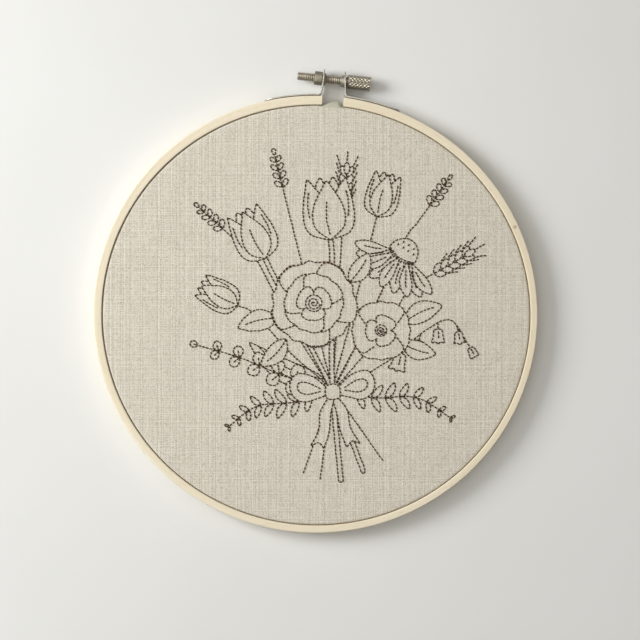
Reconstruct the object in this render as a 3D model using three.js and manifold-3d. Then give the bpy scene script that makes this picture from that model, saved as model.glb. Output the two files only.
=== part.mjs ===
// A wooden screw hoop lying on its back, with a linen cloth stretched between its two rings.
// Millimetres. +Z points out of the stitched face, and +Y from the hoop's centre to its screw.

import * as THREE from 'three';
import { mergeVertices } from 'three/addons/utils/BufferGeometryUtils.js';
import Module from 'manifold-3d';

const wasm = await Module();
wasm.setup();

// The outer ring's two walls, each a little out of round, as a bent strip of wood is. The inner
// wall sits lower than the outer one and further right, so the wood is thickest at the screw.
const OUTER_WALL = { halfX: 105.6, halfY: 104.0, shifted: 0, lowered: 0.25 };
const INNER_WALL = { halfX: 101.97, halfY: 100.0, shifted: 0.22, lowered: 0.63 };
const CLEARANCE = 0.3;
const RING_STEPS = 96;
// Longer than any wall that a cutter has to pass through.
const CUTTER = 20;

const OUTER_RING = { depth: 9.5, frontRound: 0.6, backRound: 0.6 };
const GAP = { left: -4.9, right: 5.1 };
const INNER_RING = { width: 4.2, frontRound: 0.9, backRound: 0.6 };

const CLOTH = { thickness: 1, face: 8.9, hem: 0.8, shoulder: 1.3 };
// Where the outer ring is open the cloth swells into the gap: it rises from `left` to `crest`,
// and falls more steeply from `drop` to `right`. Its front edge is softened by its own height.
const PUFF = { left: -4.5, crest: 1.6, drop: 2.2, right: 4.4, height: 2.95, softening: 0.9 };
const PUFF_STEP = THREE.MathUtils.degToRad(0.4);
const PUFF_REACH = THREE.MathUtils.degToRad(3.2);

const STRIP = { thickness: 0.55, width: 8, bend: 1.7 };
const STRAP_REACH = THREE.MathUtils.degToRad(18.2);
const STRAP_STEPS = 12;
const BEND_STEPS = 5;
// Each ear rises from its foot, rounding into its straight part over its own `bend`.
const LEFT_EAR = { side: -1, footX: 5.5, topX: 5.08, topY: 116.7, bend: 4.5 };
const RIGHT_EAR = { side: 1, footX: 5.7, topX: 4.85, topY: 116.3, bend: 1.7 };
const NOTCH = { angle: THREE.MathUtils.degToRad(14.3), width: 0.6, depth: 0.9 };

const SCREW = { y: 111.87, z: OUTER_RING.depth / 2, tilt: THREE.MathUtils.degToRad(-1.9) };
const ROD = { radius: 2.0, left: -17.78, chamfer: 0.3 };
const KNOB = { radius: 3.42, left: 6.05, right: 17.4, nearRound: 0.7, farRound: 0.5 };
const NUT = { left: -9.62, right: -5.82, radius: 3.3, chamfer: 0.35 };
const NUT_TURN = THREE.MathUtils.degToRad(36);
const BORE_RADIUS = ROD.radius + CLEARANCE;
const TURNED_SIDES = 24;
const LEFT_COLLAR = { length: 0.8, footRadius: 3.0, tipRadius: 2.75 };
const RIGHT_COLLAR = { length: 1.7, footRadius: 3.2, tipRadius: 2.7 };

const WOOD = new THREE.MeshStandardMaterial({ color: 0xeee2c8, roughness: 0.6, metalness: 0 });
const UNDER_WOOD = new THREE.MeshStandardMaterial({ color: 0xe4d4b4, roughness: 0.7, metalness: 0 });
const LINEN = new THREE.MeshStandardMaterial({ color: 0xd6cfc0, roughness: 0.95, metalness: 0 });
const NICKEL = new THREE.MeshStandardMaterial({ color: 0x9a9282, roughness: 0.35, metalness: 1 });

const TURN = 2 * Math.PI;
const TO_SCREW = Math.PI / 2;

// A closed three.js geometry as a solid that can be cut and joined.
function toSolid(geometry) {
  const bare = geometry.clone();
  bare.deleteAttribute('normal');
  bare.deleteAttribute('uv');
  const merged = mergeVertices(bare, 1e-4);
  return new wasm.Manifold(
    new wasm.Mesh({
      numProp: 3,
      vertProperties: new Float32Array(merged.attributes.position.array),
      triVerts: new Uint32Array(merged.index.array),
    }),
  );
}

function toGeometry(solid) {
  const { vertProperties, triVerts } = solid.getMesh();
  const geometry = new THREE.BufferGeometry();
  geometry.setAttribute('position', new THREE.BufferAttribute(vertProperties, 3));
  geometry.setIndex(new THREE.BufferAttribute(triVerts, 1));
  geometry.computeVertexNormals();
  return geometry;
}

// The distance from the hoop's centre to a wall of the outer ring, at an angle from +X.
function wallRadius(wall, angle) {
  const across = Math.hypot(wall.halfY * Math.cos(angle), wall.halfX * Math.sin(angle));
  const moved = wall.shifted * Math.cos(angle) - wall.lowered * Math.sin(angle);
  return (wall.halfX * wall.halfY) / across + moved;
}

function polar(radius, angle) {
  return new THREE.Vector2(radius * Math.cos(angle), radius * Math.sin(angle));
}

// Sweeps a closed section once round the hoop. sectionAt(angle) gives its outline as points
// (distance from the centre, height), anticlockwise, and always the same number of them.
function sweptRing(sectionAt, angles) {
  const sections = angles.map(sectionAt);
  const count = sections[0].length;
  const positions = sections.flatMap((section, i) =>
    section.flatMap((point) => [...polar(point.x, angles[i]), point.y]),
  );
  const indices = [];
  for (let i = 0; i < angles.length; i++) {
    const here = i * count;
    const next = ((i + 1) % angles.length) * count;
    for (let k = 0; k < count; k++) {
      const up = (k + 1) % count;
      indices.push(here + k, next + k, here + up);
      indices.push(here + up, next + k, next + up);
    }
  }
  const geometry = new THREE.BufferGeometry();
  geometry.setAttribute('position', new THREE.Float32BufferAttribute(positions, 3));
  geometry.setIndex(indices);
  return geometry;
}

function evenAngles() {
  return Array.from({ length: RING_STEPS }, (_, i) => (i * TURN) / RING_STEPS);
}

// The section of a wooden ring: flat walls and back, with its long edges rounded over in two
// flats each.
function woodSection(inner, outer, front, { frontRound, backRound }) {
  const shape = new THREE.Shape();
  shape.absarc(outer - backRound, backRound, backRound, -Math.PI / 2, 0);
  shape.absarc(outer - frontRound, front - frontRound, frontRound, 0, Math.PI / 2);
  shape.absarc(inner + frontRound, front - frontRound, frontRound, Math.PI / 2, Math.PI);
  shape.absarc(inner + backRound, backRound, backRound, Math.PI, 1.5 * Math.PI);
  return shape.getPoints(1);
}

function makeOuterRing() {
  const ring = sweptRing(
    (angle) =>
      woodSection(
        wallRadius(INNER_WALL, angle),
        wallRadius(OUTER_WALL, angle),
        OUTER_RING.depth,
        OUTER_RING,
      ),
    evenAngles(),
  );
  const opening = new THREE.BoxGeometry(GAP.right - GAP.left, CUTTER, 2 * CUTTER);
  opening.translate((GAP.left + GAP.right) / 2, OUTER_WALL.halfY, 0);
  return toGeometry(toSolid(ring).subtract(toSolid(opening)));
}

// The outside of the cloth's turned-down edge, where the outer ring presses on it.
function clothRadius(angle) {
  return wallRadius(INNER_WALL, angle) - CLEARANCE;
}

function makeInnerRing() {
  const front = CLOTH.face - CLOTH.thickness - CLEARANCE;
  return sweptRing((angle) => {
    const outer = clothRadius(angle) - CLOTH.thickness - CLEARANCE;
    return woodSection(outer - INNER_RING.width, outer, front, INNER_RING);
  }, evenAngles());
}

// How far the cloth swells out of the gap at an angle.
function puffAt(angle) {
  const x = polar(clothRadius(angle), angle).x;
  if (Math.sin(angle) < 0 || x <= PUFF.left || x >= PUFF.right) return 0;
  const climb = THREE.MathUtils.clamp((x - PUFF.left) / (PUFF.crest - PUFF.left), 0, 1);
  const rise = Math.sin((climb * Math.PI) / 2);
  const fall = 1 - THREE.MathUtils.smoothstep(x, PUFF.drop, PUFF.right);
  return PUFF.height * rise * fall;
}

// The cloth's section, from the middle of its back, round its edge, to the middle of its face.
function clothSection(angle) {
  const puff = puffAt(angle);
  const outside = clothRadius(angle) + puff;
  const shoulder = CLOTH.shoulder + PUFF.softening * puff;
  const underShoulder = shoulder - CLOTH.thickness;
  const back = CLOTH.face - CLOTH.thickness;
  const centre = new THREE.Vector2(outside - shoulder, CLOTH.face - shoulder);
  const arc = new THREE.Path();
  arc.absarc(centre.x, centre.y, underShoulder, Math.PI / 2, 0, true);
  arc.lineTo(outside - CLOTH.thickness, CLOTH.hem);
  arc.lineTo(outside, CLOTH.hem);
  arc.absarc(centre.x, centre.y, shoulder, 0, Math.PI / 2);
  const half = centre.x / 2;
  return [
    new THREE.Vector2(0, back),
    new THREE.Vector2(half, back),
    ...arc.getPoints(2),
    new THREE.Vector2(half, CLOTH.face),
    new THREE.Vector2(0, CLOTH.face),
  ];
}

function makeCloth() {
  const nearGap = [];
  for (let turn = -PUFF_REACH; turn <= PUFF_REACH + 1e-9; turn += PUFF_STEP) {
    nearGap.push(TO_SCREW + turn);
  }
  const elsewhere = evenAngles().filter((a) => Math.abs(a - TO_SCREW) > PUFF_REACH + PUFF_STEP);
  const angles = [...elsewhere, ...nearGap].sort((a, b) => a - b);
  return toGeometry(toSolid(sweptRing(clothSection, angles)));
}

// The screw's own frame: X along its axis, which leans a little from the hoop's X.
function toScrewFrame(object) {
  object.position.set(0, SCREW.y, SCREW.z);
  object.rotation.z = SCREW.tilt;
  object.updateMatrix();
  return object;
}

const screwMatrix = toScrewFrame(new THREE.Object3D()).matrix;

// Turns a profile of (radius, place along the axis) about the X axis.
function turned(profile) {
  const points = profile.map(([radius, along]) => new THREE.Vector2(radius, along));
  return new THREE.LatheGeometry(points, TURNED_SIDES).rotateZ(-Math.PI / 2);
}

// A quarter round from a cylinder's side to its end face. direction is 1 if that end is the right.
function roundedEnd(radius, end, round, direction) {
  const steps = 3;
  return Array.from({ length: steps + 1 }, (_, i) => {
    const angle = (i / steps) * (Math.PI / 2);
    return [
      radius - round * (1 - Math.cos(angle)),
      end - direction * round * (1 - Math.sin(angle)),
    ];
  });
}

// One turned screw: a rod with a knurled head, which bears on the right ear.
function makeThumbScrew() {
  const near = roundedEnd(KNOB.radius, KNOB.left, KNOB.nearRound, -1).reverse();
  const far = roundedEnd(KNOB.radius, KNOB.right, KNOB.farRound, 1);
  return turned([
    [0, ROD.left],
    [ROD.radius - ROD.chamfer, ROD.left],
    [ROD.radius, ROD.left + ROD.chamfer],
    [ROD.radius, KNOB.left],
    ...near,
    ...far,
    [0, KNOB.right],
  ]);
}

// A six-sided nut with its corners turned off at both ends, bored clear of the rod.
function makeNut() {
  const long = NUT.right - NUT.left;
  const prism = new THREE.CylinderGeometry(NUT.radius, NUT.radius, long, 6);
  prism.rotateZ(-Math.PI / 2).rotateX(NUT_TURN);
  prism.translate((NUT.left + NUT.right) / 2, 0, 0);
  const blank = turned([
    [0, NUT.left],
    [NUT.radius - NUT.chamfer, NUT.left],
    [NUT.radius, NUT.left + NUT.chamfer],
    [NUT.radius, NUT.right - NUT.chamfer],
    [NUT.radius - NUT.chamfer, NUT.right],
    [0, NUT.right],
  ]);
  return toGeometry(toSolid(prism).intersect(toSolid(blank)).subtract(toSolid(bore())));
}

function bore() {
  const span = KNOB.right - ROD.left;
  return turned([[0, -span], [BORE_RADIUS, -span], [BORE_RADIUS, span], [0, span]]);
}

// How far the middle of a bracket's strap lies from the hoop's centre.
function strapRadius(angle) {
  return wallRadius(OUTER_WALL, angle) + CLEARANCE + STRIP.thickness / 2;
}

// The middle line of a bracket's strip, seen from the front: along the ring, then up the ear.
function bracketLine(ear) {
  const strapPoint = (turn) => {
    const angle = TO_SCREW - ear.side * turn;
    return polar(strapRadius(angle), angle);
  };
  const footTurn = Math.asin(ear.footX / strapRadius(TO_SCREW));
  const strapTurn = footTurn + STRIP.bend / OUTER_WALL.halfY;
  const corner = strapPoint(footTurn);
  const top = new THREE.Vector2(ear.side * ear.topX, ear.topY);
  const earStart = corner.clone().add(top.clone().sub(corner).setLength(ear.bend));
  const bend = new THREE.QuadraticBezierCurve(strapPoint(strapTurn), corner, earStart);
  const strap = [];
  for (let i = 0; i < STRAP_STEPS; i++) {
    strap.push(strapPoint(THREE.MathUtils.lerp(STRAP_REACH, strapTurn, i / STRAP_STEPS)));
  }
  return [...strap, ...bend.getPoints(BEND_STEPS), top];
}

// The outline of a strip of even thickness along a middle line.
function stripShape(line, thickness) {
  const sides = [[], []];
  line.forEach((point, i) => {
    const before = line[Math.max(i - 1, 0)];
    const after = line[Math.min(i + 1, line.length - 1)];
    const along = after.clone().sub(before).normalize();
    const across = new THREE.Vector2(-along.y, along.x).multiplyScalar(thickness / 2);
    sides[0].push(point.clone().add(across));
    sides[1].unshift(point.clone().sub(across));
  });
  return new THREE.Shape([...sides[0], ...sides[1]]);
}

// A flat blank with one round end, extruded, to cut that end on a strip. It is a little wider
// than the strip. reach is how far its round end comes along its own X.
function roundEndedBlank(reach, length) {
  const half = STRIP.width / 2;
  const shape = new THREE.Shape();
  shape.moveTo(-length, -half - CLEARANCE);
  shape.lineTo(reach - half, -half - CLEARANCE);
  shape.lineTo(reach - half, -half);
  shape.absarc(reach - half, 0, half, -Math.PI / 2, Math.PI / 2);
  shape.lineTo(reach - half, half + CLEARANCE);
  shape.lineTo(-length, half + CLEARANCE);
  const options = { depth: 2 * length, bevelEnabled: false, curveSegments: 10 };
  return new THREE.ExtrudeGeometry(shape, options);
}

// A collar pressed out of the ear round its hole, towards the gap. It starts inside the ear.
function collar({ length, footRadius, tipRadius }, ear) {
  const footY = strapRadius(TO_SCREW);
  const foot = THREE.MathUtils.mapLinear(SCREW.y, footY, ear.topY, ear.footX, ear.topX);
  const tip = foot - STRIP.thickness / 2 - length;
  const profile = [
    [0, tip],
    [tipRadius, tip],
    [THREE.MathUtils.lerp(tipRadius, footRadius, 1 / 3), (tip + foot) / 2],
    [footRadius, foot],
    [0, foot],
  ];
  const geometry = turned(profile);
  return ear.side > 0 ? geometry : geometry.rotateZ(Math.PI);
}

function makeBracket(ear, collarSize, notched) {
  const strip = new THREE.ExtrudeGeometry(stripShape(bracketLine(ear), STRIP.thickness), {
    depth: STRIP.width,
    bevelEnabled: false,
  });
  strip.translate(0, 0, SCREW.z - STRIP.width / 2);

  const long = 2 * OUTER_WALL.halfX;
  const earBlank = roundEndedBlank(ear.topY, long);
  earBlank.translate(0, 0, -long).rotateY(Math.PI / 2).rotateX(Math.PI / 2);
  earBlank.translate(0, 0, SCREW.z);
  const strapBlank = roundEndedBlank(OUTER_WALL.halfY * Math.sin(STRAP_REACH), long);
  strapBlank.translate(0, 0, -long).rotateX(Math.PI / 2);
  if (ear.side < 0) strapBlank.rotateZ(Math.PI);
  strapBlank.translate(0, 0, SCREW.z);

  let bracket = toSolid(strip)
    .intersect(toSolid(earBlank))
    .intersect(toSolid(strapBlank))
    .add(toSolid(collar(collarSize, ear).applyMatrix4(screwMatrix)))
    .subtract(toSolid(bore().applyMatrix4(screwMatrix)));
  if (notched) {
    const cut = new THREE.BoxGeometry(NOTCH.width, CUTTER, 2 * NOTCH.depth);
    const centre = polar(OUTER_WALL.halfY, TO_SCREW - ear.side * NOTCH.angle);
    cut.rotateZ(-ear.side * NOTCH.angle);
    cut.translate(centre.x, centre.y, SCREW.z + STRIP.width / 2);
    bracket = bracket.subtract(toSolid(cut));
  }
  return toGeometry(bracket);
}

function named(name, geometry, material) {
  const mesh = new THREE.Mesh(geometry, material);
  mesh.name = name;
  return mesh;
}

const hoop = new THREE.Group();
hoop.add(
  named('outer_ring', makeOuterRing(), WOOD),
  named('inner_ring', makeInnerRing(), UNDER_WOOD),
  named('linen_cloth', makeCloth(), LINEN),
  named('left_bracket', makeBracket(LEFT_EAR, LEFT_COLLAR, false), NICKEL),
  named('right_bracket', makeBracket(RIGHT_EAR, RIGHT_COLLAR, true), NICKEL),
);

const onScrewAxis = toScrewFrame(new THREE.Group());
onScrewAxis.add(
  named('clamp_nut', makeNut(), NICKEL),
  named('thumb_screw', makeThumbScrew(), NICKEL),
);
hoop.add(onScrewAxis);

// The origin is under the middle of the whole, on the plane that the rings rest on.
const middle = new THREE.Box3().setFromObject(hoop, true).getCenter(new THREE.Vector3());
hoop.position.set(-middle.x, -middle.y, 0);

const part = new THREE.Group();
part.add(hoop);

export default part;
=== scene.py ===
"""A wooden screw hoop lying on its back, with a linen cloth stretched between its two rings and a
posy stitched on the cloth in brown thread.

Blender works in metres. The sizes here are millimetres, as on a maker's drawing, measured from
the middle of the hoop: +X to the right, +Y to the screw and +Z out of the stitched face.
"""

import cmath
import math

import bmesh
import bpy
import numpy as np
from mathutils import Matrix, Vector


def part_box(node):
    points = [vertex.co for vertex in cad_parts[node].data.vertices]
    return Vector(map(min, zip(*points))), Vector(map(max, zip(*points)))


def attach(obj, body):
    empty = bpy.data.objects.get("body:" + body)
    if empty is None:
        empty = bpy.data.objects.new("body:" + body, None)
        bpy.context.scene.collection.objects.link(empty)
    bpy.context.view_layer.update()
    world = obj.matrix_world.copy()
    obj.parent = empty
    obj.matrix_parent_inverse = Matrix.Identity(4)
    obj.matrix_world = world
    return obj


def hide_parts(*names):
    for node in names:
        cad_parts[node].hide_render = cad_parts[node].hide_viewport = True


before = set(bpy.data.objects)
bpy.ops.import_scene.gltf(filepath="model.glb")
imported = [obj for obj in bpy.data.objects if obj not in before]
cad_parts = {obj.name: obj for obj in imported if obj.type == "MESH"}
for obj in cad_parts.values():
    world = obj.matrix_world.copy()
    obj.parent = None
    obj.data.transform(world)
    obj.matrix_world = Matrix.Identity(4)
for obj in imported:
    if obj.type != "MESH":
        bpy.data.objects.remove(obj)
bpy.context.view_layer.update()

MM = 0.001
TURN = 2 * math.pi
TO_SCREW = math.pi / 2

# The outer ring's two walls, each a little out of round, as a bent strip of wood is. The inner
# wall sits lower than the outer one and further right.
OUTER_WALL = {"half_x": 105.6, "half_y": 104.0, "shifted": 0.0, "lowered": 0.25}
INNER_WALL = {"half_x": 101.97, "half_y": 100.0, "shifted": 0.22, "lowered": 0.63}
CLEARANCE = 0.3
RING_FRONT = 9.5
GAP_LEFT = -4.9
GAP_RIGHT = 5.1
RING_STEPS = 540

INNER_RING_WIDTH = 4.2
INNER_RING_FRONT = 8.2

CLOTH_FACE = 8.9
CLOTH_THICKNESS = 0.55
CLOTH_HEM = 0.8
CLOTH_SHOULDER = 1.15
UNEVENNESS = 0.11
LINEN_PITCH = 0.00055
PUFF = {"left": -4.5, "crest": 1.6, "drop": 2.2, "right": 4.4, "height": 2.95, "softening": 0.9}

SCREW_Y = 111.87
SCREW_Z = 4.75
SCREW_TILT = math.radians(-1.9)
ROD_RADIUS = 2.0
ROD_LEFT = -17.78
HEAD_RADIUS = 3.42
HEAD_LEFT = 6.05
HEAD_RIGHT = 17.4

# The photographed hoop stands turned a little to the left in its picture, and so do the cloth's
# threads and the posy on it.
PICTURE_TURN = math.radians(4.6)
PICTURE_RIGHT = Vector((math.cos(PICTURE_TURN), math.sin(PICTURE_TURN), 0))
PICTURE_UP = Vector((-math.sin(PICTURE_TURN), math.cos(PICTURE_TURN), 0))

OUTER_RING_REACH = OUTER_WALL["half_y"] + OUTER_WALL["lowered"]
HOOP_MIDDLE = Vector((0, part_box("outer_ring")[0].y + OUTER_RING_REACH * MM, 0))


# Meshes

def add_to_scene(name, data):
    obj = bpy.data.objects.new(name, data)
    bpy.context.scene.collection.objects.link(obj)
    return obj


def add_piece(name, points, faces, material, body="hoop", sharp_above=40):
    """A piece of the hoop from points in millimetres. Edges sharper than sharp_above stay crisp."""
    mesh = bpy.data.meshes.new(name)
    placed_points = np.asarray(points, float) * MM + np.array(HOOP_MIDDLE)
    mesh.from_pydata(placed_points.tolist(), [], faces)
    mesh.validate()
    mesh.shade_smooth()
    mesh.set_sharp_from_angle(angle=math.radians(sharp_above))
    obj = add_to_scene(name, mesh)
    finish_piece(obj, material, body)
    return obj


def finish_piece(obj, material, body):
    obj.data.materials.clear()
    obj.data.materials.append(material)
    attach(obj, body)


def skin(rows, closed):
    """Faces that join rows of points, each row a loop, into one tube or ring, with flat ends."""
    count = len(rows[0])
    total = len(rows)
    faces = []
    for i in range(total if closed else total - 1):
        here = i * count
        after = (i + 1) % total * count
        for k in range(count):
            up = (k + 1) % count
            faces.append((here + k, after + k, after + up, here + up))
    if not closed:
        faces.append(tuple(range(count)))
        faces.append(tuple(range((total - 1) * count, total * count))[::-1])
    return faces


def turned_over(faces):
    """The same faces, looking the other way."""
    return [face[:1] + face[:0:-1] for face in faces]


def arc_points(centre_x, centre_y, radius, start, end, steps):
    """Points on part of a circle. start and end are degrees."""
    angles = np.radians(np.linspace(start, end, steps))
    return np.stack([centre_x + radius * np.cos(angles), centre_y + radius * np.sin(angles)], axis=1)


def flat_points(start, end, steps):
    """Points between two ends of a straight run, without the ends."""
    t = np.linspace(0, 1, steps + 2)[1:-1, None]
    return (1 - t) * np.asarray(start) + t * np.asarray(end)


# The wooden rings

def wall_radius(wall, angle):
    across = math.hypot(wall["half_y"] * math.cos(angle), wall["half_x"] * math.sin(angle))
    moved = wall["shifted"] * math.cos(angle) - wall["lowered"] * math.sin(angle)
    return wall["half_x"] * wall["half_y"] / across + moved


def cloth_radius(angle):
    return wall_radius(INNER_WALL, angle) - CLEARANCE


def waver(angle, seed):
    """How much a hand-sanded surface wanders at an angle, from -1 to 1."""
    waves = ((2, 0.3), (3, 0.25), (5, 0.2), (9, 0.15), (17, 0.1))
    return sum(size * math.sin(count * angle + seed * (1.7 + count)) for count, size in waves)


def wood_section(inner, outer, back, front, back_round, front_round):
    """A ring's section as (distance from the middle, height), anticlockwise."""
    corners = [
        arc_points(outer - back_round, back + back_round, back_round, -90, 0, 4),
        arc_points(outer - front_round, front - front_round, front_round, 0, 90, 7),
        arc_points(inner + front_round, front - front_round, front_round, 90, 180, 7),
        arc_points(inner + back_round, back + back_round, back_round, 180, 270, 4),
    ]
    section = []
    for corner, after in zip(corners, corners[1:] + corners[:1]):
        section += [corner, flat_points(corner[-1], after[0], 3)]
    return np.concatenate(section)


def row_at_angle(line, angle):
    """A line of (distance from the middle, height), stood up at an angle round the hoop."""
    away, height = line.T
    return np.stack([away * math.cos(angle), away * math.sin(angle), height], 1)


def row_at_x(section, x):
    """The section where the ring is sawn straight across beside the screw."""
    away, height = section.T
    return np.stack([np.full(len(away), x), np.sqrt(away**2 - x * x), height], 1)


def outer_section(angle, inset=0.0):
    """The outer ring's section, smaller all round by inset. Sanding took up to 0.12 mm off it."""
    inner = wall_radius(INNER_WALL, angle) + inset + 0.04 * waver(angle, 4)
    outer = wall_radius(OUTER_WALL, angle) - inset - 0.05 * (1 + waver(angle, 1))
    front = RING_FRONT - inset - 0.06 * (1 + waver(angle, 2))
    return wood_section(inner, outer, inset, front, 0.6, 0.55 + 0.1 * waver(angle, 3))


def make_outer_ring(material):
    saw_edge = 0.22
    first_step = math.radians(0.45)
    left = TO_SCREW - math.asin(GAP_LEFT / OUTER_WALL["half_y"])
    right = TO_SCREW - math.asin(GAP_RIGHT / OUTER_WALL["half_y"]) + TURN
    rows = [
        row_at_x(outer_section(left, saw_edge), GAP_LEFT),
        row_at_x(outer_section(left), GAP_LEFT - saw_edge),
    ]
    for angle in np.linspace(left + first_step, right - first_step, RING_STEPS):
        rows.append(row_at_angle(outer_section(angle), angle))
    rows += [
        row_at_x(outer_section(right), GAP_RIGHT + saw_edge),
        row_at_x(outer_section(right, saw_edge), GAP_RIGHT),
    ]
    points = np.concatenate(rows)
    ring = add_piece("sanded_outer_ring", points, skin(rows, closed=False), material)
    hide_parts("outer_ring")


def make_inner_ring(material):
    rows = []
    for angle in np.linspace(0, TURN, RING_STEPS, endpoint=False):
        outer = cloth_radius(angle) - CLOTH_THICKNESS - CLEARANCE
        inner = outer - INNER_RING_WIDTH - 0.08 * waver(angle, 5)
        front_round = 0.9 + 0.1 * waver(angle, 6)
        section = wood_section(inner, outer, 0.03, INNER_RING_FRONT, 0.5, front_round)
        rows.append(row_at_angle(section, angle))
    points = np.concatenate(rows)
    ring = add_piece("sanded_inner_ring", points, skin(rows, closed=True), material)
    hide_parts("inner_ring")
    return ring


# The linen

def puff_at(angle):
    """How far the cloth swells out of the gap beside the screw."""
    x = cloth_radius(angle) * math.cos(angle)
    if math.sin(angle) < 0 or x <= PUFF["left"] or x >= PUFF["right"]:
        return 0.0
    climb = min(max((x - PUFF["left"]) / (PUFF["crest"] - PUFF["left"]), 0), 1)
    drop = min(max((x - PUFF["drop"]) / (PUFF["right"] - PUFF["drop"]), 0), 1)
    return PUFF["height"] * math.sin(climb * math.pi / 2) * (1 - drop * drop * (3 - 2 * drop))


def face_relief(x, y):
    """The slight unevenness of the stretched face, which fades out at the rings."""
    turn = -PICTURE_TURN
    u = x * math.cos(turn) - y * math.sin(turn)
    v = x * math.sin(turn) + y * math.cos(turn)
    waves = 0.3 * np.sin(u / 7.3 + 1.3 * np.sin(v / 19))
    waves += 0.3 * np.sin(v / 8.9 + 1.1 * np.sin(u / 23) + 2)
    waves += 0.4 * np.sin(u / 17 + v / 29 + 0.7)
    fade = np.clip((97 - np.hypot(x, y)) / 12, 0, 1)
    return UNEVENNESS * waves * fade


def cloth_line(angle):
    """The cloth from the middle of its face, over its shoulder and down to its hem."""
    puff = puff_at(angle)
    outside = cloth_radius(angle) + puff
    shoulder = CLOTH_SHOULDER + PUFF["softening"] * puff
    start = outside - shoulder
    spread = np.linspace(0, 1, 44)[1:] ** 0.9
    face = np.stack([start * spread, np.full(len(spread), CLOTH_FACE)], 1)
    turned = arc_points(start, CLOTH_FACE - shoulder, shoulder, 90, 0, 10)[1:]
    fall = flat_points(turned[-1], (outside, CLOTH_HEM), 3)
    return np.concatenate([face, turned, fall, [(outside, CLOTH_HEM)]])


def lined(line, thickness):
    """The same line, moved to the cloth's other side."""
    along = np.gradient(line, axis=0)
    along /= np.linalg.norm(along, axis=1)[:, None]
    return line - thickness * np.stack([-along[:, 1], along[:, 0]], 1)


def cloth_angles():
    """Even steps round the cloth, with finer ones at the puff."""
    even = np.linspace(0, TURN, 480, endpoint=False)
    reach = math.radians(3.2)
    near_gap = np.arange(TO_SCREW - reach, TO_SCREW + reach, math.radians(0.12))
    away = even[np.abs(even - TO_SCREW) > reach + math.radians(0.3)]
    return np.sort(np.concatenate([away, near_gap]))


def make_cloth(material):
    columns = []
    for angle in cloth_angles():
        front = cloth_line(angle)
        back = lined(front, CLOTH_THICKNESS)[::-1]
        columns.append(row_at_angle(np.concatenate([front, back]), angle))
    grid = np.array(columns)
    grid[:, :, 2] += face_relief(grid[:, :, 0], grid[:, :, 1])
    total, count = grid.shape[:2]
    points = grid.reshape(-1, 3).tolist()
    middle = face_relief(np.zeros(1), np.zeros(1))[0]
    points.append((0, 0, CLOTH_FACE + middle))
    points.append((0, 0, CLOTH_FACE - CLOTH_THICKNESS + middle))
    faces = []
    for i in range(total):
        here = i * count
        after = (i + 1) % total * count
        for k in range(count - 1):
            faces.append((here + k, here + k + 1, after + k + 1, after + k))
        faces.append((total * count, here, after))
        faces.append((total * count + 1, after + count - 1, here + count - 1))
    cloth = add_piece("linen_sheet", points, faces, material, sharp_above=80)
    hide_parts("linen_cloth")
    return cloth


# The pattern: a point of it is a complex number, right + up * 1j, in millimetres

STITCH_LENGTH = 1.85
SHORTEST_RUN = 0.55
TRACE_STEP = 0.22
POSY_MIDDLE = 8 + 0j
TIE = 0 - 37j


def smooth(points, steps=14):
    """A smooth curve through a few points."""
    p = [2 * points[0] - points[1], *points, 2 * points[-1] - points[-2]]
    t = np.linspace(0, 1, steps, endpoint=False)
    spans = []
    for a, b, c, d in zip(p, p[1:], p[2:], p[3:]):
        bend = (2 * a - 5 * b + 4 * c - d) * t**2 + (3 * b - a - 3 * c + d) * t**3
        spans.append(0.5 * (2 * b + (c - a) * t + bend))
    return np.concatenate([*spans, [points[-1]]])


def towards(degrees):
    """One millimetre in a direction, anticlockwise from the right."""
    return cmath.exp(1j * math.radians(degrees))


def closed(*lines):
    line = np.concatenate(lines)
    return np.append(line, line[0])


def mirrored(line):
    return -line.conj()


def with_mirror(outline, lines):
    """A shape and its mirror image."""
    return [(outline, lines), (mirrored(outline), [mirrored(line) for line in lines])]


def placed(shapes, at, lean=0.0, size=1.0):
    """Shapes moved to a place, leant to the left by degrees, and sized."""
    move = size * towards(lean)
    moved = []
    for outline, lines in shapes:
        cover = None if outline is None else at + move * outline
        moved.append((cover, [at + move * line for line in lines]))
    return moved


def leaflet(length, width, bend=0.0, fullest=0.45, steps=16):
    """A leaf's outline and middle line. It grows up from its stalk; bend leans its middle."""
    t = np.linspace(0, 1, steps)
    middle = 1j * length * t + length * bend * np.sin(math.pi * t)
    half = 0.5 * width * np.sin(math.pi * t ** (math.log(0.5) / math.log(fullest))) ** 0.85
    half[[0, -1]] = 0
    return closed(middle - half, (middle + half)[::-1][1:-1]), middle


def leaf(length, width, bend=0.0):
    outline, middle = leaflet(length, width, bend)
    return [(outline, [outline, middle[:13]])]


def blade(length, width, bend=0.0):
    """A long leaf with two lines side by side in it."""
    outline, middle = leaflet(length, width, bend, fullest=0.4, steps=24)
    side = 0.16 * width
    return [(outline, [outline, middle[:18] - side, middle[1:21] + side])]


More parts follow.
